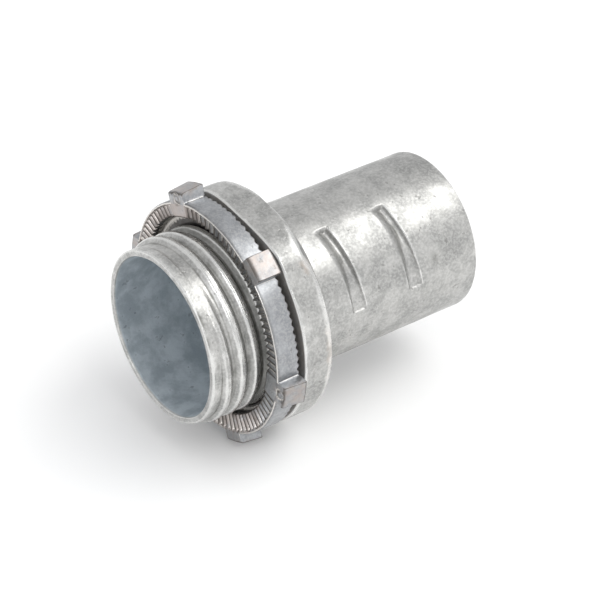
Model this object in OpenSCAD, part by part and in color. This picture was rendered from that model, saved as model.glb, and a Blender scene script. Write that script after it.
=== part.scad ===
// Screw-in connector for flexible metal conduit, with its locknut.
// The axis lies along X. The nose points to -X and the conduit enters at +X.
// The origin is the centre of the collar's seating face, which bears on the box wall.

/* [Nose and thread] */
// Outside diameter over the thread crests
thread_d = 20.9; // [20.4:0.1:21.3]
// Distance from one crest to the next
thread_pitch = 1.814; // [1.6:0.002:2]
// Height of the thread from root to crest
thread_depth = 0.6; // [0.4:0.05:0.7]
// Length of the nose in front of the collar
nose_len = 9.4; // [8.5:0.1:11]
// Diameter of the bore through the nose
nose_bore_d = 18.3; // [17:0.1:18.5]

/* [Collar] */
// Diameter of the collar's round part
collar_d = 27; // [26.5:0.1:28]
// Distance across the two wrench flats of the collar
collar_af = 25.8; // [25.4:0.1:26.4]
// Diameter over the corners at the ends of the flats
collar_corner_d = 28.6; // [28.1:0.1:29.4]
// Thickness of the collar along the axis
collar_t = 3.8; // [3:0.1:5]

/* [Conduit sleeve] */
// Outside diameter of the sleeve
sleeve_d = 18.7; // [18.4:0.1:19.5]
// Diameter of the socket that takes the conduit
socket_d = 16; // [15.6:0.1:16.4]
// Length of the wider, plain entry to that socket
entry_len = 3.6; // [2:0.1:3.7]
// Length of the sleeve behind the collar
sleeve_len = 23.15; // [22.5:0.05:26]
// Diameter of the hole through the stop that the conduit ends against
stop_d = 13.6; // [12:0.1:14.4]
// Thickness of that stop
stop_t = 1.4; // [1:0.1:2]

/* [Screw ridges of the sleeve] */
// Axial advance of the ridges in one turn
ridge_lead = 7.8; // [7.4:0.1:8]
// Width of each recess along the axis
recess_w = 2.05; // [1.6:0.05:2.2]
// Depth of each recess below the sleeve's outside
recess_depth = 0.75; // [0.4:0.05:0.85]
// How far each ridge stands into the socket
ridge_h = 0.7; // [0.4:0.05:0.9]
// Angle that each ridge covers
ridge_span = 66; // [50:1:80]
// Number of ridges, half a turn apart
ridge_count = 4; // [2:1:4]

/* [Locknut] */
// Thickness of the locknut
nut_t = 2.8; // [2.4:0.1:3.2]
// Outside diameter of the ring between the lugs
nut_d = 27; // [26.4:0.1:27.6]
// Diameter over the tips of the lugs
lug_tip_d = 29.8; // [28.6:0.1:31]
// Width of each lug
lug_w = 3; // [2.4:0.1:4]
// Number of lugs
lug_count = 6; // [3:1:8]
// Gap between the locknut and the collar at rest
nut_gap = 0.8; // [0.5:0.1:3]

/* [Hidden] */
$fn = 96;

zinc = [0.73, 0.74, 0.73];
nut_zinc = [0.64, 0.64, 0.65];

eps = 0.01;
past = 1;                        // how far a cutting shape runs on into the open
bury = 0.15;                     // how far a ridge's root is sunk into the metal that carries it
thread_segments = 48;            // facets in one turn of the thread
thread_clear_r = 0.15;           // radial gap over the crests of the nose's thread
crest_clear_r = 0.25;            // radial gap under the crests of the locknut's thread
thread_clear_x = 0.2;            // axial gap between the two threads

crest_r = thread_d / 2;
root_r = crest_r - thread_depth;
blank_r = root_r + 0.13;         // the plain end of the nose, in front of the thread
blank_back = 0.3;                // the plain end stops this far behind the thread's first crest
blank_slope = 0.3;               // and slopes down to the root over this length
lip_chamfer = 0.1;
flare_r = 0.16;                  // the nose bore opens by this much at its mouth
flare_len = 0.15;
crest_half = 0.2;                // half the width of a crest
flank = 0.6;                     // widening of the ridge for each millimetre below its crest
start_angle = 134;               // where the thread first reaches the crest, about the axis
start_x = -7.85;                 // axial place of the crest there
thread_run = 4.05;               // turns from the thread's start to the collar
fade_turns = 0.3;                // length of the thread's run-in and run-out

collar_corner_r = collar_corner_d / 2;
rear_rim_r = 13.15;              // the collar's back is chamfered down to this radius
collar_chamfer = 0.9;            // length of that chamfer
seat_chamfer = 0.3;
flat_half = 7.3;                 // half the length of a flat
flat_angle = 99;                 // where the first flat faces, about the axis
hidden_joint = 0.5;              // the nose meets the sleeve this far inside the collar

sleeve_r = sleeve_d / 2;
socket_r = socket_d / 2;
entry_r = socket_r + 0.3;
socket_start = 2.3;              // where the socket begins, behind the stop
sleeve_end = collar_t + sleeve_len;
mouth_chamfer = 0.3;
ridge_start_angle = 112.5;
ridge_start_x = 9.05;            // axial middle of the first ridge where it begins
ridge_segments = 14;
ridge_fade = 0.04;               // share of a turn over which each ridge rises at its ends
ridge_slope = 0.45;              // a ridge's crest is narrower than its root by this on each side
recess_slope = 0.15;             // and the floor of its recess by this
recess_open = 0.1;               // widening of the recess where it leaves the metal
recess_past = 0.5;

nut_r = nut_d / 2;
nut_back = -nut_gap;             // the face towards the collar
nut_bore_r = crest_r + thread_clear_r;
nut_crest_r = root_r + crest_clear_r;
nut_thread_run = 2.5;            // turns drawn before the thread is cut off at both faces
nut_land = 1.2;                  // thickness of the threaded land at the back of the locknut
mouth_r = 11.6;                  // radius of the wide mouth in front of the threaded land
nut_edge = 0.15;
lug_tip_r = lug_tip_d / 2;
lug_angle = 9;                   // where the first lug points, about the axis
lug_inner_r = 12.2;              // the lugs start inside the metal of the ring
lug_inset = 0.1;                 // the lugs stop this far short of the back face

core_clear = 0.1;                // running gap round the core
core_r1 = 11.8;
core_r2 = 12.8;
core_z1 = 0.45;
core_z2 = 0.9;

// Turns the work axis from Z to X. An angle is then measured from +Y towards +Z.
module lying() {
    rotate([0, 90, 0]) rotate([0, 0, 90]) children();
}

// A ring turned from a profile of [radius, place along the axis] points
module turned(profile) {
    rotate_extrude() polygon(profile);
}

// The four corners of a ridge's section. Its crest sinks towards the root as rise goes from 1 to 0.
function ridge_ring(r_root, r_crest, half_root, half_crest, rise) =
    [[r_root, -half_root],
     [r_root + (r_crest - r_root) * rise, -half_crest],
     [r_root + (r_crest - r_root) * rise, half_crest],
     [r_root, half_root]];

// Height of a ridge at a place along it, from 0 to 1, when it fades in and out at its ends
function ridge_rise(place, length, fade) =
    fade == 0 ? 1 : max(0.02, min(1, place / fade, (length - place) / fade));

// A ridge of trapezoid section that winds round the axis
module helical_ridge(r_root, r_crest, half_root, half_crest, lead, angle0, z0, turns, fade, segments) {
    steps = ceil(turns * segments);
    points = [for (i = [0:steps])
        let (t = turns * i / steps, angle = angle0 + 360 * t, z = z0 + lead * t)
        for (p = ridge_ring(r_root, r_crest, half_root, half_crest, ridge_rise(t, turns, fade)))
            [p[0] * cos(angle), p[0] * sin(angle), z + p[1]]];
    sides = [for (i = [0:steps - 1], k = [0:3])
        let (a = 4 * i + k, b = 4 * i + (k + 1) % 4)
        each [[a, b, b + 4], [a, b + 4, a + 4]]];
    first = [[0, 2, 1], [0, 3, 2]];
    last = [for (f = first) [4 * steps + f[0], 4 * steps + f[2], 4 * steps + f[1]]];
    outward = r_crest > r_root;
    faces = [for (f = concat(sides, first, last)) outward ? f : [f[0], f[2], f[1]]];
    polyhedron(points, faces, convexity = 10);
}

// The male thread of the nose
module nose_thread() {
    helical_ridge(root_r - bury, crest_r,
                  crest_half + flank * (thread_depth + bury), crest_half,
                  thread_pitch, start_angle, start_x, thread_run, fade_turns, thread_segments);
}

// The middle of ridge number i where it begins, as an angle and a place along the axis
function ridge_angle(i) = ridge_start_angle + 180 * i;
function ridge_x(i) = ridge_start_x + ridge_lead * i / 2;

// The groove pressed into the sleeve's outside over each ridge
module recess(i) {
    helical_ridge(sleeve_r + recess_past, sleeve_r - recess_depth,
                  recess_w / 2 + recess_open, recess_w / 2 - recess_slope,
                  ridge_lead, ridge_angle(i), ridge_x(i), ridge_span / 360, 0,
                  ridge_segments * 360 / ridge_span);
}

// The ridge inside the socket that winds into the conduit's grooves
module screw_ridge(i) {
    helical_ridge(socket_r + bury, socket_r - ridge_h, recess_w / 2, recess_w / 2 - ridge_slope,
                  ridge_lead, ridge_angle(i), ridge_x(i), ridge_span / 360, ridge_fade,
                  ridge_segments * 360 / ridge_span);
}

// The round collar. A corner stands out at each end of its two wrench flats.
module collar() {
    intersection() {
        union() {
            cylinder(d = collar_d, h = collar_t);
            rotate([0, 0, flat_angle]) translate([-collar_corner_r, -flat_half, 0])
                cube([2 * collar_corner_r, 2 * flat_half, collar_t]);
        }
        rotate([0, 0, flat_angle]) translate([-collar_af / 2, -collar_corner_r, 0])
            cube([collar_af, 2 * collar_corner_r, collar_t]);
        turned([[0, 0],
                [collar_corner_r - seat_chamfer, 0],
                [collar_corner_r, seat_chamfer],
                [collar_corner_r, collar_t - collar_chamfer],
                [rear_rim_r, collar_t],
                [0, collar_t]]);
    }
}

// The outside of the nose and the sleeve
module barrel() {
    turned([[0, -nose_len],
            [blank_r - lip_chamfer, -nose_len],
            [blank_r, -nose_len + lip_chamfer],
            [blank_r, start_x + blank_back],
            [root_r, start_x + blank_back + blank_slope],
            [root_r, hidden_joint],
            [sleeve_r, hidden_joint],
            [sleeve_r, sleeve_end - mouth_chamfer],
            [sleeve_r - mouth_chamfer, sleeve_end],
            [0, sleeve_end]]);
}

// Everything that is open through the middle
module passage() {
    nose_bore_r = nose_bore_d / 2;
    translate([0, 0, -nose_len - past])
        cylinder(r = nose_bore_r, h = nose_len + past + socket_start - stop_t);
    translate([0, 0, -nose_len - eps])
        cylinder(r1 = nose_bore_r + flare_r, r2 = nose_bore_r, h = flare_len + eps);
    cylinder(d = stop_d, h = socket_start + past);
    translate([0, 0, socket_start]) cylinder(r = socket_r, h = sleeve_end);
    translate([0, 0, sleeve_end - entry_len]) cylinder(r = entry_r, h = entry_len + past);
    translate([0, 0, sleeve_end - mouth_chamfer])
        cylinder(r1 = entry_r, r2 = entry_r + mouth_chamfer + eps, h = mouth_chamfer + eps);
}

module connector_body() {
    color(zinc) lying() {
        difference() {
            union() {
                barrel();
                collar();
                nose_thread();
            }
            passage();
            for (i = [0:ridge_count - 1]) recess(i);
        }
        for (i = [0:ridge_count - 1]) screw_ridge(i);
    }
}

// The locknut's ring, from the back face at 0 to the front face at nut_t
module nut_ring() {
    turned([[nut_bore_r, 0],
            [nut_r - nut_edge, 0],
            [nut_r, nut_edge],
            [nut_r, nut_t - nut_edge],
            [nut_r - nut_edge, nut_t],
            [mouth_r, nut_t],
            [mouth_r, nut_land],
            [nut_bore_r, nut_land]]);
}

// One lug: a bar across the ring and out past it
module lug() {
    translate([lug_inner_r, -lug_w / 2, lug_inset])
        cube([lug_tip_r - lug_inner_r, lug_w, nut_t - lug_inset]);
}

// The female thread, cut off flush with both faces of its land
module nut_thread() {
    tooth = nut_bore_r - nut_crest_r;
    groove_half = thread_pitch / 2 - crest_half - flank * (crest_r - nut_crest_r);
    tip_half = groove_half - thread_clear_x;
    turns_in = floor((nut_back - nut_land - start_x) / thread_pitch) - 0.5;
    intersection() {
        translate([0, 0, nut_back - nut_land]) difference() {
            cylinder(r = nut_bore_r + bury, h = nut_land);
            translate([0, 0, -past]) cylinder(r = nut_crest_r - bury, h = nut_land + 2 * past);
        }
        helical_ridge(nut_bore_r + bury, nut_crest_r, tip_half + flank * (tooth + bury), tip_half,
                      thread_pitch, start_angle, start_x + turns_in * thread_pitch, nut_thread_run, 0,
                      thread_segments);
    }
}

// The core's section, grown by a gap all round
module core_ring(gap) {
    turned([[core_r1 - gap, core_z1 - gap],
            [core_r2 + gap, core_z1 - gap],
            [core_r2 + gap, core_z2 + gap],
            [core_r1 - gap, core_z2 + gap]]);
}

// Places what is drawn from the locknut's back face forwards, so that its front faces the nose's tip
module at_nut() {
    lying() translate([0, 0, nut_back]) mirror([0, 0, 1]) children();
}

module locknut() {
    color(nut_zinc) {
        at_nut() difference() {
            union() {
                nut_ring();
                for (i = [0:lug_count - 1])
                    rotate([0, 0, lug_angle + 360 * i / lug_count]) lug();
            }
            core_ring(core_clear);
        }
        lying() nut_thread();
    }
}

module locknut_core() {
    color("dimgray") at_nut() core_ring(0);
}

connector_body();
locknut();
locknut_core();
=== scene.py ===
import bpy
import math
import numpy as np
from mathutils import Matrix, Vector, noise


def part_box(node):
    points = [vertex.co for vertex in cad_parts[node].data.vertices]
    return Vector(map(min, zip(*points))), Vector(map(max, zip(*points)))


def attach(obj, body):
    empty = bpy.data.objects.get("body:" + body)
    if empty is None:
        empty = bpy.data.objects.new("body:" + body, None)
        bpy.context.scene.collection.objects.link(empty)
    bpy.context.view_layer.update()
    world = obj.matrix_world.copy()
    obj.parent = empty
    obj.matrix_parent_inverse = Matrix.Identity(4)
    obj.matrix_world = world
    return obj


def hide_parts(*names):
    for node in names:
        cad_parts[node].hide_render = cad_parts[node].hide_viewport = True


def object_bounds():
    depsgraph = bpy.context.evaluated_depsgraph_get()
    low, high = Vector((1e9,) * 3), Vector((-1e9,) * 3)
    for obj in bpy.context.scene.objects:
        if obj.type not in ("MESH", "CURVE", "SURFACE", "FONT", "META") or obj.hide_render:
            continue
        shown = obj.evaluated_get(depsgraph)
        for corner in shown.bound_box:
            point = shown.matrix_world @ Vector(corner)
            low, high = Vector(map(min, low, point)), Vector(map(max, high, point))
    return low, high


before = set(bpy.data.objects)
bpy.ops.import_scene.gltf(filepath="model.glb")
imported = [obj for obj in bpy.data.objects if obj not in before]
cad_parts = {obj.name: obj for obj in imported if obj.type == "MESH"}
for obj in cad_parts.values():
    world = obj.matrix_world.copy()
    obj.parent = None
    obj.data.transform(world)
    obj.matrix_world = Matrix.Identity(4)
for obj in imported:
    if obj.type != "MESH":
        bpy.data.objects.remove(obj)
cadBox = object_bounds()
mm = 0.001
bodyLow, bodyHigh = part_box("connector_body")
nutLow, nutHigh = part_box("locknut")
noseTip = bodyLow.x / mm
sleeveEnd = bodyHigh.x / mm
nutFront = nutLow.x / mm
nutBack = nutHigh.x / mm


# Sizes are in millimetres and angles in degrees, measured about the X axis from +Y towards +Z.
def smoothMin(a, b, width):  # lower of two, with the crossing rounded over width
    h = np.clip(0.5 + 0.5 * (b - a) / width, 0, 1)
    return b + (a - b) * h - width * h * (1 - h)


def step(x, low, high):  # 0 below low, 1 above high, eased between
    t = np.clip((x - low) / (high - low), 0, 1)
    return t * t * (3 - 2 * t)


def wrapped(angle):  # angle brought to -180..180
    return (angle + 180) % 360 - 180


def roundedPath(corners, spacing):
    # corners: (x, r, fillet radius); returns points along the open path, closer round the fillets
    out = []
    last = len(corners) - 1
    for i, (x, r, fillet) in enumerate(corners):
        p = np.array([x, r], float)
        if i in (0, last) or fillet == 0:
            out.append(p)
            continue
        before = np.array(corners[i - 1][:2], float) - p
        after = np.array(corners[i + 1][:2], float) - p
        la, lb = np.linalg.norm(before), np.linalg.norm(after)
        before /= la
        after /= lb
        half = math.acos(np.clip(before @ after, -1, 1)) / 2
        cut = min(fillet / math.tan(half), la * 0.48, lb * 0.48)
        for t in np.linspace(0, 1, 5):  # a quadratic curve stands for the arc
            a, b = p + before * cut * (1 - t), p + after * cut * t
            out.append(a * (1 - t) + b * t)
    dense = [out[0]]
    for p in out[1:]:
        count = max(1, int(np.linalg.norm(p - dense[-1]) / spacing))
        start = dense[-1]
        dense += [start + (p - start) * k / count for k in range(1, count + 1)]
    return np.array(dense)


def angleColumns(base, edges, reach, fine):
    # even columns, with closer ones within reach of each edge angle
    angles = set(np.round(np.linspace(0, 360, base, endpoint=False), 4))
    for edge in edges:
        near = [a for a in angles if abs(wrapped(a - edge)) < reach]
        angles -= set(near)
        count = int(2 * reach / fine)
        angles |= {round(float((edge - reach + 2 * reach * k / count) % 360), 4) for k in range(count + 1)}
    out = sorted(angles)
    return np.array([a for i, a in enumerate(out) if i == 0 or a - out[i - 1] > 0.02])


def ringMesh(name, x, r, angles, attributes):
    # x and r: rows by columns arrays of a section that closes on itself
    rows, cols = x.shape
    rad = np.radians(angles)[None, :]
    co = np.stack([x, r * np.cos(rad), r * np.sin(rad)], -1).reshape(-1, 3) * mm
    i, j = np.meshgrid(np.arange(rows), np.arange(cols), indexing="ij")
    i2, j2 = (i + 1) % rows, (j + 1) % cols
    quads = np.stack([i * cols + j, i * cols + j2, i2 * cols + j2, i2 * cols + j], -1).reshape(-1, 4)
    mesh = bpy.data.meshes.new(name)
    mesh.from_pydata(co.tolist(), [], quads.tolist())
    mesh.polygons.foreach_set("use_smooth", np.ones(len(quads), bool))
    for key, values in attributes.items():
        layer = mesh.attributes.new(key, "FLOAT", "POINT")
        layer.data.foreach_set("value", values.reshape(-1).astype(np.float32))
    mesh.update()
    piece = bpy.data.objects.new(name, mesh)
    bpy.context.scene.collection.objects.link(piece)
    return piece


def gridNormals(co):
    across = np.roll(co, -1, 0) - np.roll(co, 1, 0)
    along = np.roll(co, -1, 1) - np.roll(co, 1, 1)
    n = np.cross(across, along)
    return n / np.maximum(np.linalg.norm(n, axis=-1, keepdims=True), 1e-12)


def edgeMasks(x, r, angles, passes, scale):
    # how far each point stands out of, or lies below, a smoothed copy of the surface
    rad = np.radians(angles)[None, :]
    co = np.stack([x, r * np.cos(rad), r * np.sin(rad)], -1)
    soft = co.copy()
    for _ in range(passes):
        near = np.roll(soft, 1, 0) + np.roll(soft, -1, 0) + np.roll(soft, 1, 1) + np.roll(soft, -1, 1)
        soft = soft * 0.4 + near * 0.15
    n = gridNormals(co)
    out = ((co - soft) * n).sum(-1)
    if ((co - co.mean((0, 1))) * n).sum() < 0:
        out = -out
    return np.clip(out / scale, 0, 1), np.clip(-out / scale, 0, 1)


def castWobble(x, r, angles, size, seed):
    # slow unevenness of a casting, in the same place on every run
    rad = np.radians(angles)
    out = np.empty(x.shape)
    for i in range(x.shape[0]):
        for j, a in enumerate(rad):
            p = Vector((x[i, j], r[i, j] * math.cos(a), r[i, j] * math.sin(a)))
            out[i, j] = noise.noise(p / size + Vector((seed, 0, 0)))
    return out


# connector body: one casting, turned round its section
castBody = {
    "threadPitch": 1.814,
    "crestRadius": 10.45,
    "threadDepth": 0.58,
    "crestHalf": 0.26,         # half the width of the crest
    "flankWidth": 0.54,        # axial width of each flank
    "startAngle": 134,
    "startX": -7.85,
    "threadTurns": 4.05,
    "lipRadius": 9.97,         # plain end of the nose
    "noseBore": 9.15,
    "collarThickness": 3.8,
    "collarRadius": 13.48,     # the round part of the collar
    "flatRadius": 12.88,       # from the axis to each of the two wrench flats
    "flatAngle": 99,
    "flatHalf": 7.25,          # half the length of a flat
    "cornerRadius": 13.98,     # how far the corner at one end of a flat reaches
    "cornerFall": 14,          # degrees over which it sinks back to the round part
    "lowCornerRadius": 13.62,  # and the worn one at its other end
    "cornerSoftness": 1.2,
    "flatDraft": 0.26,         # the flats lean outwards by this towards the back
    "rearRim": 13.12,          # where the chamfer at its back begins
    "chamferSlope": 0.8,
    "chamferBlend": 0.22,
    "rearRound": 0.12,
    "seatRound": 0.1,
    "sleeveRadius": 9.34,
    "socketRadius": 8.0,
    "stopRadius": 6.8,
    "stopFront": 0.9,
    "stopBack": 2.3,
    "recessFrom": 6.0,         # the stretch of the sleeve that holds the recesses
    "recessMargin": 1.3,       # and how far from its mouth it ends
    "recessLead": 7.8,
    "recessSpan": 66,
    "recessAngle": 112.5,      # where the first recess begins
    "recessX": 9.05,
    "recessWidth": 2.05,
    "recessWall": 0.34,        # axial width of the steeper wall
    "gentleWall": 4.8,         # the other wall is this many times wider, and less so further round
    "gentleLoss": 3.4,
    "recessEnds": 2.6,         # degrees taken by each end wall
    "recessDepth": 0.62,
    "recessTaper": 0.5,        # share of the depth left at the far end
    "entryRadius": 8.3,        # plain entry of the socket
    "entryLength": 3.6,
    "ridgeHeight": 0.68,       # the ridges inside, which wind into the conduit
    "ridgeWall": 0.5,
    "ridgeEnds": 8,
    "wobble": 0.035,           # unevenness of the casting: its height, size and seed
    "wobbleSize": 2.6,
    "wobbleSeed": 3.1,
    "wearPasses": 12,          # how wide, and how strong, the worn edges are
    "wearScale": 0.09,
    "columns": 200,            # mesh columns all round, and the closer ones at corners
    "edgeReach": 3,
    "edgeStep": 0.5,
    "rowsPerPitch": 17,
}


def threadHeight(x, angle, s):
    turn = (x - s["startX"]) / s["threadPitch"] - (angle - s["startAngle"]) / 360
    nearest = np.round(turn)
    aside = np.abs(turn - nearest) * s["threadPitch"]
    along = nearest + (angle - s["startAngle"]) / 360
    fade = step(along, -0.12, 0.25) * (1 - step(along, s["threadTurns"] - 0.3, s["threadTurns"]))
    shape = 1 - step(aside, s["crestHalf"] - 0.05, s["crestHalf"] + s["flankWidth"])
    return s["threadDepth"] * shape * fade


def recessDrift(angle, s):  # sideways run of the recesses, the same on both halves of the sleeve
    half = (angle - s["recessAngle"]) % 180
    rise = s["recessLead"] * s["recessSpan"] / 360
    back = 180 - s["recessSpan"]
    return np.where(half < s["recessSpan"], half / s["recessSpan"] - 0.5,
                    0.5 - step(half - s["recessSpan"], 0, back)) * rise


def recessShape(rowX, angle, s, wall, endWall, taper):
    # 1 on the floor of a recess, 0 outside; rowX is the place along the axis before the drift
    out = np.zeros(np.broadcast(rowX, angle).shape)
    span, half = s["recessSpan"], s["recessWidth"] / 2
    rise = s["recessLead"] * span / 360
    for k in range(4):
        middle = s["recessX"] + rise / 2 + s["recessLead"] * k / 2
        begin = s["recessAngle"] + 180 * (k % 2)
        turn = (angle - begin) % 360
        turn = np.where(turn > 300, turn - 360, turn)
        aside = rowX - middle
        slope = wall * (s["gentleWall"] - s["gentleLoss"] * step(turn, 0.25 * span, 0.95 * span))
        side = step(aside, -half, -half + slope) * (1 - step(aside, half - wall, half))
        ends = step(turn, 0, endWall) * (1 - step(turn, span - endWall, span))
        depth = 1 - (1 - taper) * step(turn, span * 0.35, span)
        out = np.maximum(out, side * ends * depth)
    return out


def zoneFade(rowX, s):  # 1 over the recesses, 0 at the two ends of their stretch
    low, high = s["recessFrom"], sleeveEnd - s["recessMargin"]
    return step(rowX, low, low + 1.6) * (1 - step(rowX, high - 1.9, high))


def recessRows(s, low, high):
    # rows across the sleeve, close together at the walls of each recess
    rows = [low, high]
    rise = s["recessLead"] * s["recessSpan"] / 360
    for k in range(4):
        middle = s["recessX"] + rise / 2 + s["recessLead"] * k / 2
        half = s["recessWidth"] / 2
        offsets = [half + 0.3, half + 0.06, half, half - 0.08, half - 0.17,
                   half - 0.26, half - 0.36, half - 0.6, 0.15]
        rows += [middle + o for o in offsets] + [middle - o for o in offsets] + [middle]
    rows = sorted(rows)
    out = [rows[0]]
    for x in rows[1:]:
        count = max(1, round((x - out[-1]) / 0.7))
        start = out[-1]
        out += [start + (x - start) * k / count for k in range(1, count + 1)]
    return np.array(out)


# marks of handling, and painted shade: the recess shadows, the seating face and the thread under the nut
# each spot: place along the axis, angle, half length, half width in degrees, strength
marksAndPaintedShade = {
    "lipScratches": ((-9.2, 140, 0.14, 9, 0.9), (-9.25, 154, 0.1, 6, 0.9), (-8.6, 172, 0.3, 5, 0.6)),
    "sleeveBlotches": ((21.2, 162, 0.9, 6, 0.6), (14.2, 214, 1.5, 9, 0.5), (17.0, 320, 1.6, 12, 0.6)),
    # painted shadows: dark spots on the recess floors
    "recessShadows": ((9.95, 137, 0.28, 6, 0.75), (17.75, 135, 0.28, 9, 0.75)),
    "collarStains": ((2.7, 135, 1.0, 6, 1), (3.3, 178, 0.8, 22, 1), (2.8, 300, 1.2, 30, 0.8)),
    "sleeveWear": 0.65,        # share of the edge wear and of the dirt that the sleeve shows
    "sleeveDirt": 0.25,
    "paintedSeatShade": 0.4,          # painted shade on the collar's seating face, in the gap next to the nut
    "seatMatteAndTint": 0.55,
    "paintedThreadShade": 0.7,        # painted shade on the thread next to the collar, under the nut
    "paintedThreadShadeZone": (-4.2, -3.2),
}


def spotField(x, angle, spots):
    out = np.zeros(x.shape)
    for place, middle, length, width, strength in spots:
        near = np.exp(-((x - place) / length) ** 2 - (wrapped(angle - middle) / width) ** 2)
        out = np.maximum(out, strength * near)
    return out


def bodyMarks(x, r, a, raised, sunken, matteAndReflectTint):
    # dirt, scuffs and stains of the connector body, and painted shade on its seating face, under the nut
    # and in its recesses, added to its worn edges
    s, m = castBody, marksAndPaintedShade
    onSeat = (np.abs(x) < 0.06) & (r > 9.8)
    # the seating face also takes the bluish painted-reflection tint
    matteAndReflectTint = np.maximum(matteAndReflectTint, np.where(onSeat, m["seatMatteAndTint"] * step(r, 11.0, 12.0), 0))
    # painted shade: the seating face in the gap and the thread under the nut are darkened
    onThread = step(x, *m["paintedThreadShadeZone"]) * (x < 0.05) * (r > 9.6) * (r < 10.9)
    grimeAndShade = np.maximum(np.where(onSeat, m["paintedSeatShade"], 0), m["paintedThreadShade"] * onThread)
    # lip scratches and sleeve blotches are real marks; the recess shadows are painted shade
    scuffsAndShadows = spotField(x, a, m["lipScratches"] + m["sleeveBlotches"] + m["recessShadows"])
    innerWall = np.where(x > s["collarThickness"], s["entryRadius"] + 0.15, s["noseBore"] + 0.05)
    scuffsAndShadows = np.where(r > innerWall, scuffsAndShadows, 0)
    onCollar = (x > -0.05) & (x < s["collarThickness"] + 0.1) & (r > 12.4)
    stain = np.where(onSeat, 1, np.where(onCollar, spotField(x, a, m["collarStains"]), 0))
    return {"raised": raised * (1 - scuffsAndShadows), "sunken": sunken, "grimeAndShade": np.maximum(grimeAndShade, scuffsAndShadows),
            "stain": stain, "matteAndReflectTint": matteAndReflectTint}


def collarSide(a, s):
    # the collar's outline is round, with a corner at each end of its two flats;
    # t runs from its back, where there is a chamfer, to its seating face
    thick = s["collarThickness"]
    turnFlat = np.radians(wrapped((a - s["flatAngle"]) * 2) / 2)
    edgeTurn = math.atan(s["flatHalf"] / s["flatRadius"])
    beyond = np.degrees(np.abs(turnFlat) - edgeTurn)
    cornerReach = np.where(turnFlat > 0, s["cornerRadius"], s["lowCornerRadius"])
    highCorner = smoothMin(s["flatRadius"] / math.cos(edgeTurn), cornerReach, s["cornerSoftness"])
    pastCorner = highCorner + (s["collarRadius"] - highCorner) * step(beyond, 0, s["cornerFall"])
    t = np.array([0, 0.02, 0.06, 0.12, 0.2, 0.3, 0.42, 0.56, 0.72, 0.9, 1.1, 1.35, 1.65, 2.0, 2.4,
                  2.8, 3.1, 3.35, 3.52, 3.64, 3.72, 3.77, thick])[:, None]
    leaning = s["flatRadius"] / np.cos(turnFlat) + s["flatDraft"] * (1 - t / thick)
    outline = np.where(beyond < 0, smoothMin(leaning, cornerReach, s["cornerSoftness"]), pastCorner)
    side = smoothMin(outline, s["rearRim"] + t * s["chamferSlope"], s["chamferBlend"])
    side = side - s["rearRound"] * (1 - step(t, 0, 0.12)) - s["seatRound"] * step(t, thick - 0.14, thick)
    return thick - t, side


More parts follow.
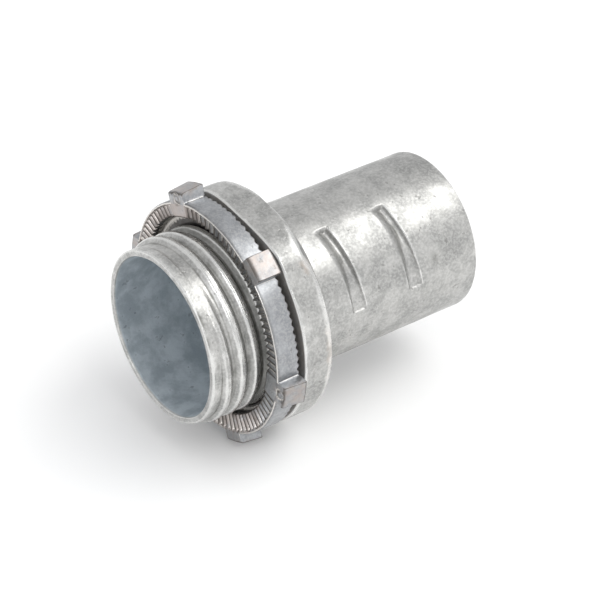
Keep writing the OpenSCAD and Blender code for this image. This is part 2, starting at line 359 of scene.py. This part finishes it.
def makeConnectorBody():
    s = castBody
    recessEdges = [s["recessAngle"] + 180 * k + s["recessSpan"] * end for k in range(2) for end in (0, 1)]
    cornerTurn = math.degrees(math.atan(s["flatHalf"] / s["flatRadius"])) + 1.5
    corners = [s["flatAngle"] + 180 * k + side * cornerTurn for k in range(2) for side in (-1, 1)]
    angles = angleColumns(s["columns"], recessEdges + corners, s["edgeReach"], s["edgeStep"])
    a = angles[None, :]
    sections = []                                  # each is (x, r, inside), rows by columns

    def add(x, r, inside=0.0):
        x, r = np.broadcast_arrays(np.asarray(x, float), np.asarray(r, float))
        full = (x.shape[0], len(angles))
        sections.append([np.broadcast_to(v, full) for v in (x, r, inside)])

    def addPath(path, insideBelow=0.0):            # it counts as inside below that radius
        add(path[:, :1], path[:, 1:], (path[:, 1:] < insideBelow) * 1.0)

    entry, sleeve, thick = s["entryRadius"], s["sleeveRadius"], s["collarThickness"]
    entryStart = sleeveEnd - s["entryLength"]
    addPath(roundedPath([(entryStart - 0.1, s["socketRadius"], 0), (entryStart, s["socketRadius"], 0.05),
                         (entryStart + 0.1, entry, 0.05), (sleeveEnd - 0.3, entry, 0.1),
                         (sleeveEnd, entry + 0.25, 0.12), (sleeveEnd, sleeve, 0.16),
                         (sleeveEnd - 0.8, sleeve, 0)], 0.4), entry + 0.03)

    # outside of the sleeve, from its mouth to the collar
    rows = recessRows(s, s["recessFrom"], sleeveEnd - s["recessMargin"])
    rowX = rows[::-1, None]
    dent = recessShape(rowX, a, s, s["recessWall"], s["recessEnds"], s["recessTaper"])
    add(rowX + recessDrift(a, s) * zoneFade(rowX, s), sleeve - s["recessDepth"] * dent)
    addPath(roundedPath([(5.4, sleeve, 0), (thick, sleeve, 0.5), (thick, s["flatRadius"] - 0.12, 0)], 0.5))

    # the collar's side and its seating face
    x, side = collarSide(a, s)
    add(x, side)
    rootRadius = s["crestRadius"] - s["threadDepth"]
    for share in (0.96, 0.8, 0.5, 0.2, 0.06):
        add(np.array([[0.0]]), rootRadius + (side[-1:, :] - rootRadius) * share)

    # nose: the thread, the plain end, the lip, then down the bore to the stop
    x = np.arange(-0.05, s["startX"] - 0.75, -s["threadPitch"] / s["rowsPerPitch"])[:, None]
    plain = (s["lipRadius"] - rootRadius) * step(-x, 0.15 - s["startX"], 0.6 - s["startX"])
    add(x, rootRadius + np.maximum(threadHeight(x, a, s), plain))
    bore, stop = s["noseBore"], s["stopRadius"]
    addPath(roundedPath([(s["startX"] - 0.85, s["lipRadius"], 0), (noseTip, s["lipRadius"], 0.22),
                         (noseTip, bore + 0.1, 0.14), (noseTip + 0.3, bore, 0.2),
                         (s["stopFront"], bore - 0.05, 0.4), (s["stopFront"], stop, 0.2),
                         (s["stopBack"], stop, 0.2), (s["stopBack"], s["socketRadius"] - 0.02, 0.3),
                         (5.0, s["socketRadius"], 0)], 0.6), bore + 0.05)

    # the socket and its ridges
    rowX = rows[::2, None]
    ridge = recessShape(rowX, a, s, s["ridgeWall"], s["ridgeEnds"], 1)
    add(rowX + recessDrift(a, s) * zoneFade(rowX, s), s["socketRadius"] - s["ridgeHeight"] * ridge, 1.0)

    x, r, matteAndReflectTint = (np.concatenate([p[k] for p in sections]) for k in range(3))
    raised, sunken = edgeMasks(x, r, angles, s["wearPasses"], s["wearScale"])
    onSleeve = (x > thick + 0.6) & (r > entry + 0.2)
    raised = np.where(onSleeve, marksAndPaintedShade["sleeveWear"] * raised, raised)
    sunken = np.where(onSleeve, marksAndPaintedShade["sleeveDirt"] * sunken, sunken)
    uneven = castWobble(x, r, angles, s["wobbleSize"], s["wobbleSeed"]) - 0.35
    r = r + s["wobble"] * uneven * np.where(r > 9.2, 1, 0.3)  # less of it inside
    r = np.minimum(r, np.where(x > thick + 0.5, sleeve, r))
    piece = ringMesh("connectorBody", x, r, angles, bodyMarks(x, r, a, raised, sunken, matteAndReflectTint))
    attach(piece, "connector")
    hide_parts("connector_body")
    return piece


# locknut: a serrated ring with six lugs, three of them tied across the dish by a plain bar
lockRing = {
    "ringRadius": 13.46,
    "lugRadius": 14.86,
    "lugWidth": 3.0,
    "lugCount": 6,
    "lugLean": 0.3,            # the lugs lean inwards by this towards the front
    "firstLug": 9,             # angle of a lug without a bar; every second one from the next has a bar
    "dishRadius": 11.42,
    "dishShift": 0.33,         # how far the dish's edge is out of true, towards shiftAngle
    "shiftAngle": 70,
    "rimRadius": 13.22,
    "dishDrop": 0.12,
    "land": 1.2,               # threaded land at the back
    "boreRadius": 10.58,
    "toothCount": 96,
    "toothSpread": 0.7,        # how much the teeth differ in depth
    "backTooth": 0.22,
    "frontTooth": 0.38,
    "threadTooth": 0.46,
    "darkerFrom": 92,          # the stretch where the ribs are darkest
    "darkerTo": 215,
    "pinMark": 0.62,           # radius of the ejector marks
    "pinCentre": 13.75,        # and how far they are from the axis
    "wobble": 0.04,
    "wobbleSize": 1.8,
    "wobbleSeed": 7.7,
    "wearPasses": 6,
    "wearScale": 0.07,
    "columnsPerTooth": 7,      # mesh columns, and the closer ones at the sides of the lugs
    "edgeReach": 0.9,
    "edgeStep": 0.15,
    "landRows": 22,
}


def makeLocknut():
    s = lockRing
    thick = nutBack - nutFront
    lugs = [s["firstLug"] + 360 / s["lugCount"] * k for k in range(s["lugCount"])]
    halfLug = math.degrees(s["lugWidth"] / 2 / s["lugRadius"])
    edges = [lug + side * halfLug for lug in lugs for side in (-1, 1)]
    angles = angleColumns(s["toothCount"] * s["columnsPerTooth"], edges, s["edgeReach"], s["edgeStep"])
    a = angles[None, :]

    lugMask = np.zeros_like(a)
    barMask = np.zeros_like(a)
    for k, lug in enumerate(lugs):
        aside = np.abs(wrapped(a - lug))
        mask = 1 - step(aside, halfLug - 0.25, halfLug + 0.35)
        lugMask = np.maximum(lugMask, mask)
        if k % 2 == 1:
            barMask = np.maximum(barMask, 1 - step(aside, halfLug * 1.05, halfLug * 1.05 + 0.8))

    tooth = np.abs(((a * s["toothCount"] / 360) % 1) - 0.5) * 2          # 0 at a tip, 1 in a valley
    tooth = step(tooth, 0.1, 0.9)
    uneven = [noise.noise(Vector((math.cos(t) * 14, math.sin(t) * 14, 5.5))) for t in np.radians(angles)]
    tooth = tooth * (1 + s["toothSpread"] * np.array(uneven))[None, :]

    rowsX, rowsR, rowsGrimeAndShade, rowsStain = [], [], [], []

    def add(height, radius, grimeAndShade=0.0, stain=0.0):   # height above the back face
        for rows, value in ((rowsX, nutBack - np.asarray(height, float)), (rowsR, radius),
                            (rowsGrimeAndShade, grimeAndShade), (rowsStain, stain)):
            rows.append(np.broadcast_to(np.asarray(value, float), a.shape)[0])

    ring, tip = s["ringRadius"], s["lugRadius"]
    dish = s["dishRadius"] + s["dishShift"] * np.cos(np.radians(a - s["shiftAngle"]))
    # back face, outwards from the bore, with serrations at its edge too
    # painted shade: the back face, which lies against the collar, is darkened
    for share in (0.02, 0.15, 0.35, 0.6, 0.8):
        add(0.0, s["boreRadius"] + (ring - 0.9 - s["boreRadius"]) * share, 0.3)
    for radius, depth in ((ring - 0.85, 0.1), (ring - 0.6, 0.6), (ring - 0.3, 0.9), (ring - 0.08, 1.0)):
        bite = s["backTooth"] * depth * tooth * (1 - lugMask)
        add(bite, radius + (tip - 0.1 - radius) * lugMask * (radius - ring + 0.85) / 0.77, 0.35)
    outer = ring + (tip - ring) * lugMask
    # the wall, with its edges rounded in at the back and at the front
    for height, inset in ((0.05, 0.03), (0.12, 0), (0.3, 0), (0.6, 0), (0.95, 0), (1.3, 0), (1.65, 0),
                          (1.95, 0), (2.2, 0), (2.42, 0), (2.6, 0.02), (2.7, 0.06), (thick - 0.02, 0.14)):
        bite = s["backTooth"] * tooth * (1 - lugMask) + 0.03
        place = np.maximum(height, bite + height * 0.6) if height < 0.4 else height
        lean = s["lugLean"] * lugMask * height / thick
        # painted shade at the wall's back edge, next to the collar
        add(place, outer - inset - lean, 0.25 * (height < 0.1), lugMask * 0.8)
    # the front: plain rim, and out over each lug
    frontEdge = outer - 0.16 - s["lugLean"] * lugMask
    for share in (0.9, 0.75, 0.6, 0.4, 0.2, 0.0):
        add(thick, s["rimRadius"] + (frontEdge - s["rimRadius"]) * share, 0, 0.7)
    # the shallow dish, ribbed except where a bar crosses it, and darker on one side
    darkerStretch = step(a, s["darkerFrom"] - 15, s["darkerFrom"] + 15)
    darkerStretch = darkerStretch * (1 - step(a, s["darkerTo"] - 20, s["darkerTo"] + 20))
    for share in np.linspace(0.03, 1, 16):
        radius = s["rimRadius"] + (dish - s["rimRadius"]) * share
        floor = thick - s["dishDrop"] * share
        rib = s["frontTooth"] * step(share, 0.0, 0.12) * (0.75 + 0.4 * share) * tooth
        add((floor - rib) * (1 - barMask) + (thick - 0.02) * barMask, radius,
            tooth * (1 - barMask) * (0.15 + (0.2 + 0.35 * darkerStretch) * share), 1 - 0.6 * darkerStretch)
    # painted shade down the inner wall of the dish and on the land inside the bore
    for drop, inset in ((0.15, 0.01), (0.4, 0.03), (0.8, 0.06)):
        rib = s["frontTooth"] * 1.2 * tooth * (1 - barMask)
        add(np.maximum(thick - s["dishDrop"] - rib - drop, s["land"] + 0.05), dish - inset, 0.7, 0.3)
    for share in (0.9, 0.6, 0.3, 0.06):
        add(s["land"], s["boreRadius"] + (dish - s["boreRadius"]) * share, 0.75 + 0.25 * darkerStretch)
    # the threaded land, from its front to the back face, darkened all over with painted shade
    b = castBody
    pitch = b["threadPitch"]
    for height in np.linspace(s["land"] - 0.03, 0.03, s["landRows"]):
        x = nutBack - height
        turn = (x - b["startX"]) / pitch - 0.5 - (a - b["startAngle"]) / 360
        aside = np.abs(turn - np.round(turn)) * pitch
        crest = 1 - step(aside, 0.12, 0.46)
        add(height, s["boreRadius"] - s["threadTooth"] * crest, 1)

    x, r = np.array(rowsX), np.array(rowsR)
    grimeAndShade = np.array(rowsGrimeAndShade)
    # the round ejector marks on the lugs that have a bar
    for k, lug in enumerate(lugs):
        if k % 2 == 1:
            away = np.hypot(r - s["pinCentre"], np.radians(wrapped(a - lug)) * s["pinCentre"])
            front = x < nutFront + 0.12
            circle = np.exp(-((away - s["pinMark"]) / 0.11) ** 2)
            floor = 1 - step(away, s["pinMark"] - 0.16, s["pinMark"])
            x = x + np.where(front, 0.2 * circle + 0.05 * floor, 0)
            grimeAndShade = np.maximum(grimeAndShade, np.where(front, 0.95 * circle, 0))
    raised, sunken = edgeMasks(x, r, angles, s["wearPasses"], s["wearScale"])
    onRim = (x < nutFront + 0.05) & (r > s["rimRadius"] - 0.04)
    raised = np.maximum(raised, np.where(onRim, 0.9 * (1 - lugMask), 0))  # the rim is rubbed bright
    r = r + s["wobble"] * (castWobble(x, r, angles, s["wobbleSize"], s["wobbleSeed"]) - 0.4)
    # the back face takes the matte finish and the bluish painted-reflection tint
    marks = {"raised": raised, "sunken": sunken, "grimeAndShade": grimeAndShade, "stain": np.array(rowsStain),
             "matteAndReflectTint": 0.4 * (x > nutBack - 0.06)}
    piece = ringMesh("locknut", x, r, angles, marks)
    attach(piece, "locknut")
    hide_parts("locknut", "locknut_core")
    return piece


# finishes
def newGroup(name, inputs, outputs):
    group = bpy.data.node_groups.new(name, "ShaderNodeTree")
    for label, kind, value in inputs:
        socket = group.interface.new_socket(label, in_out="INPUT", socket_type=kind)
        if value is not None:
            socket.default_value = value
    for label, kind in outputs:
        group.interface.new_socket(label, in_out="OUTPUT", socket_type=kind)
    return group, group.nodes.new("NodeGroupInput"), group.nodes.new("NodeGroupOutput")


def node(tree, kind, settings=None, values=None):
    made = tree.nodes.new(kind)
    for key, value in (settings or {}).items():
        setattr(made, key, value)
    for key, value in (values or {}).items():
        made.inputs[key].default_value = value
    return made


def mathNode(tree, operation, a, b):
    made = node(tree, "ShaderNodeMath", {"operation": operation})
    for i, value in enumerate((a, b)):
        if isinstance(value, (int, float)):
            made.inputs[i].default_value = value
        else:
            tree.links.new(value, made.inputs[i])
    return made.outputs[0]


def rangeNode(tree, value, low, high, toLow, toHigh):
    made = node(tree, "ShaderNodeMapRange", {"interpolation_type": "SMOOTHSTEP"},
                {"From Min": low, "From Max": high, "To Min": toLow, "To Max": toHigh})
    tree.links.new(value, made.inputs["Value"])
    return made.outputs["Result"]


def mixColour(tree, factor, a, b):
    made = node(tree, "ShaderNodeMix", {"data_type": "RGBA"})
    slots = [made.inputs[0], made.inputs[6], made.inputs[7]]
    for socket, value in zip(slots, (factor, a, b)):
        if isinstance(value, (int, float)):
            socket.default_value = value
        elif isinstance(value, tuple):
            socket.default_value = (*value, 1)
        else:
            tree.links.new(value, socket)
    return made.outputs[2]


def castGrainGroup():
    # mottling, fine specks and skin height of a zinc casting
    group, start, end = newGroup(
        "castGrain",
        [("Patch Scale", "NodeSocketFloat", 240.0), ("Speck Scale", "NodeSocketFloat", 2600.0),
         ("Pit Scale", "NodeSocketFloat", 1500.0)],
        [("Patches", "NodeSocketFloat"), ("Specks", "NodeSocketFloat"), ("Pits", "NodeSocketFloat"),
         ("Height", "NodeSocketFloat")])
    place = node(group, "ShaderNodeTexCoord").outputs["Object"]

    def field(scale, detail, rough):
        made = node(group, "ShaderNodeTexNoise", values={"Detail": detail, "Roughness": rough})
        group.links.new(place, made.inputs["Vector"])
        group.links.new(scale, made.inputs["Scale"])
        return made.outputs["Fac"]

    patches = field(start.outputs["Patch Scale"], 5.0, 0.62)
    specks = field(start.outputs["Speck Scale"], 3.0, 0.7)
    pitField = field(start.outputs["Pit Scale"], 2.0, 0.5)
    group.links.new(rangeNode(group, patches, 0.36, 0.66, 0.0, 1.0), end.inputs["Patches"])
    group.links.new(rangeNode(group, specks, 0.38, 0.66, 0.0, 1.0), end.inputs["Specks"])
    pits = rangeNode(group, pitField, 0.66, 0.74, 0.0, 1.0)
    group.links.new(pits, end.inputs["Pits"])
    height = mathNode(group, "MULTIPLY", specks, 0.6)
    height = mathNode(group, "ADD", height, mathNode(group, "MULTIPLY", patches, 0.8))
    height = mathNode(group, "SUBTRACT", height, mathNode(group, "MULTIPLY", pits, 0.5))
    group.links.new(height, end.inputs["Height"])
    return group


def edgeWearAndShadeGroup():
    # rubbed edges, dirt in the hollows and the painted shade of the grime attribute, broken up by noise
    group, start, end = newGroup(
        "edgeWearAndShade",
        [("Break Scale", "NodeSocketFloat", 900.0)],
        [("Rubbed", "NodeSocketFloat"), ("Dirt And Shade", "NodeSocketFloat"), ("Stain", "NodeSocketFloat")])
    raised = node(group, "ShaderNodeAttribute", {"attribute_name": "raised"}).outputs["Fac"]
    sunken = node(group, "ShaderNodeAttribute", {"attribute_name": "sunken"}).outputs["Fac"]
    place = node(group, "ShaderNodeTexCoord").outputs["Object"]
    broken = node(group, "ShaderNodeTexNoise", values={"Detail": 4.0, "Roughness": 0.65})
    group.links.new(place, broken.inputs["Vector"])
    group.links.new(start.outputs["Break Scale"], broken.inputs["Scale"])
    shift = mathNode(group, "SUBTRACT", broken.outputs["Fac"], 0.5)
    rubbed = mathNode(group, "ADD", raised, mathNode(group, "MULTIPLY", shift, 0.9))
    # this attribute holds real marks and painted shade on hidden faces
    grimeAndShade = node(group, "ShaderNodeAttribute", {"attribute_name": "grimeAndShade"}).outputs["Fac"]
    sunken = mathNode(group, "MAXIMUM", sunken, grimeAndShade)
    # dirt in the hollows, and the painted shade of the grime attribute
    dirtAndShade = mathNode(group, "ADD", sunken, mathNode(group, "MULTIPLY", shift, 0.7))
    group.links.new(rangeNode(group, rubbed, 0.25, 0.7, 0.0, 1.0), end.inputs["Rubbed"])
    group.links.new(rangeNode(group, dirtAndShade, 0.2, 0.85, 0.0, 1.0), end.inputs["Dirt And Shade"])
    stain = node(group, "ShaderNodeAttribute", {"attribute_name": "stain"}).outputs["Fac"]
    stain = mathNode(group, "ADD", stain, mathNode(group, "MULTIPLY", shift, 1.6))
    group.links.new(rangeNode(group, stain, 0.45, 1.1, 0.0, 1.0), end.inputs["Stain"])
    return group


grainGroup = castGrainGroup()
wearAndShadeGroup = edgeWearAndShadeGroup()


def zincMaterial(name, look):
    material = bpy.data.materials.new(name)
    material.use_nodes = True
    tree = material.node_tree
    shader = tree.nodes["Principled BSDF"]
    grain = node(tree, "ShaderNodeGroup", {"node_tree": grainGroup},
                 {"Patch Scale": look["patchScale"], "Speck Scale": look["speckScale"],
                  "Pit Scale": look["pitScale"]}).outputs
    wearAndShade = node(tree, "ShaderNodeGroup", {"node_tree": wearAndShadeGroup},
                {"Break Scale": look["breakScale"]}).outputs
    matteAndReflectTint = node(tree, "ShaderNodeAttribute", {"attribute_name": "matteAndReflectTint"}).outputs["Fac"]

    colour = mixColour(tree, grain["Patches"], look["dark"], look["pale"])
    speckle = rangeNode(tree, grain["Specks"], 0.0, 1.0, 0.0, look["speckAmount"])
    colour = mixColour(tree, speckle, colour, look["speck"])
    pits = mathNode(tree, "MULTIPLY", grain["Pits"], look["pitAmount"])
    colour = mixColour(tree, pits, colour, look["pit"])
    # painted reflection: the bluish tint of the inside surfaces, mixed in by the matte attribute
    inside = mixColour(tree, grain["Patches"], look["insideReflectDark"], look["insideReflectPale"])
    inside = mixColour(tree, pits, inside, look["insideReflectPit"])
    colour = mixColour(tree, matteAndReflectTint, colour, inside)
    for mask, shade, amount in ((wearAndShade["Stain"], "stain", "stainAmount"),
                                (wearAndShade["Dirt And Shade"], "dirtAndShade", "dirtAndShadeAmount"),
                                (wearAndShade["Rubbed"], "rubbed", "rubAmount")):
        colour = mixColour(tree, mathNode(tree, "MULTIPLY", mask, look[amount]), colour, look[shade])
    tree.links.new(colour, shader.inputs["Base Color"])

    rough = look["roughness"]
    for mask, change in ((grain["Patches"], "patchRough"), (wearAndShade["Dirt And Shade"], "dirtAndShadeRough"),
                         (wearAndShade["Rubbed"], "rubRough"), (matteAndReflectTint, "insideRough")):
        rough = mathNode(tree, "ADD", rough, mathNode(tree, "MULTIPLY", mask, look[change]))
    tree.links.new(rough, shader.inputs["Roughness"])
    metal = mathNode(tree, "MULTIPLY_ADD", matteAndReflectTint, look["insideMetallic"] - look["metallic"])
    metal.node.inputs[2].default_value = look["metallic"]
    tree.links.new(metal, shader.inputs["Metallic"])
    bump = node(tree, "ShaderNodeBump", values={"Strength": look["bump"], "Distance": look["bumpDistance"]})
    tree.links.new(grain["Height"], bump.inputs["Height"])
    tree.links.new(bump.outputs["Normal"], shader.inputs["Normal"])
    return material


bodyLook = {
    "dark": (0.325, 0.325, 0.317),
    "pale": (0.475, 0.472, 0.458),
    "speck": (0.72, 0.715, 0.70),
    "speckAmount": 0.34,
    "pit": (0.2, 0.2, 0.19),
    "pitAmount": 0.55,
    "stain": (0.50, 0.42, 0.36),
    "stainAmount": 0.55,
    # dirt colour, also used for the painted shade in the gap, under the nut and in the recesses
    "dirtAndShade": (0.14, 0.14, 0.125),
    "dirtAndShadeAmount": 0.6,
    "rubbed": (0.86, 0.86, 0.84),
    "rubAmount": 0.6,
    # the bluish inside colours are a painted reflection of the surroundings, over the zinc's grey
    "insideReflectDark": (0.33, 0.375, 0.41),
    "insideReflectPale": (0.52, 0.575, 0.61),
    "insideReflectPit": (0.16, 0.18, 0.2),
    "insideMetallic": 0.25,
    "roughness": 0.42,
    "patchRough": -0.1,        # what each mask adds to the roughness
    "dirtAndShadeRough": 0.2,
    "rubRough": -0.12,
    "insideRough": 0.25,
    "metallic": 0.95,
    "bump": 0.5,
    "bumpDistance": 0.00008,
    "patchScale": 380.0,
    "speckScale": 3300.0,
    "pitScale": 1500.0,
    "breakScale": 900.0,
}

nutLook = dict(bodyLook,
               dark=(0.285, 0.293, 0.306),
               pale=(0.375, 0.385, 0.402),
               speckAmount=0.2,
               stain=(0.42, 0.365, 0.335),
               stainAmount=0.8,
               # also the colour of the painted shade on the back face and inside the bore
               dirtAndShade=(0.10, 0.09, 0.08),
               dirtAndShadeAmount=0.85,
               rubbed=(0.74, 0.71, 0.67),
               rubAmount=0.8,
               roughness=0.4)


# studio: pale floor, soft boxes, and the camera
studio = {
    "floorColour": (0.97, 0.97, 0.97),
    "floorSize": 3.0,
    "worldColour": (0.985, 0.99, 1.0),
    "worldStrength": 0.82,
    "softBoxes": {             # direction, distance, size, radiance, colour
        "keyBox": ((0.35, -0.42, 0.80), 0.7, (0.9, 0.42), 2.35, (1, 0.995, 0.975)),
        "sideBox": ((0.6, -0.8, 0.22), 0.9, (0.7, 0.4), 0.3, (1, 1, 1)),
        "noseBox": ((-0.9, -0.25, 0.45), 0.8, (0.5, 0.4), 1.7, (0.97, 0.98, 1)),
    },
    "lens": 142.2,
    "distance": 0.2541,
    "azimuth": -36.57,
    "elevation": 34.21,
    "aim": (0.00397, -0.00709, 0.00334),
}


def areaLight(name, direction, distance, size, radiance, colour):
    lamp = bpy.data.lights.new(name, "AREA")
    lamp.shape = "RECTANGLE"
    lamp.size, lamp.size_y = size
    lamp.energy = radiance * math.pi * size[0] * size[1]
    lamp.color = colour
    made = bpy.data.objects.new(name, lamp)
    way = Vector(direction).normalized()
    made.location = way * distance
    made.rotation_mode = "QUATERNION"
    made.rotation_quaternion = way.to_track_quat("Z", "Y")
    bpy.context.scene.collection.objects.link(made)
    return made


def makeStudio():
    s = studio
    scene = bpy.context.scene
    scene.view_settings.view_transform = "Standard"
    half = s["floorSize"] / 2
    level = cadBox[0].z
    mesh = bpy.data.meshes.new("floor")
    corners = [(-half, -half), (half, -half), (half, half), (-half, half)]
    mesh.from_pydata([(x, y, level) for x, y in corners], [], [(0, 1, 2, 3)])
    floor = bpy.data.objects.new("floor", mesh)
    scene.collection.objects.link(floor)
    paint = bpy.data.materials.new("paleFloor")
    paint.use_nodes = True
    shader = paint.node_tree.nodes["Principled BSDF"]
    shader.inputs["Base Color"].default_value = (*s["floorColour"], 1)
    shader.inputs["Roughness"].default_value = 0.9
    shader.inputs["Specular IOR Level"].default_value = 0.1
    mesh.materials.append(paint)

    world = bpy.data.worlds.new("studioAir")
    scene.world = world
    world.use_nodes = True
    back = world.node_tree.nodes["Background"]
    back.inputs["Color"].default_value = (*s["worldColour"], 1)
    back.inputs["Strength"].default_value = s["worldStrength"]

    for name, settings in s["softBoxes"].items():
        areaLight(name, *settings)

    camera = bpy.data.cameras.new("camera")
    camera.lens = s["lens"]
    camera.sensor_width = 36
    camera.clip_start = 0.01
    camera.clip_end = 20
    made = bpy.data.objects.new("camera", camera)
    a, e = math.radians(s["azimuth"]), math.radians(s["elevation"])
    back = Vector((math.sin(a) * math.cos(e), -math.cos(a) * math.cos(e), math.sin(e)))
    made.location = Vector(s["aim"]) + back * s["distance"]
    made.rotation_mode = "QUATERNION"
    made.rotation_quaternion = back.to_track_quat("Z", "Y")
    scene.collection.objects.link(made)
    scene.camera = made


makeStudio()
print("studio ready")
connectorBody = makeConnectorBody()
connectorBody.data.materials.append(zincMaterial("bodyZinc", bodyLook))
print("connector body ready", len(connectorBody.data.polygons), "faces")
locknut = makeLocknut()
locknut.data.materials.append(zincMaterial("locknutZinc", nutLook))
print("locknut ready", len(locknut.data.polygons), "faces")
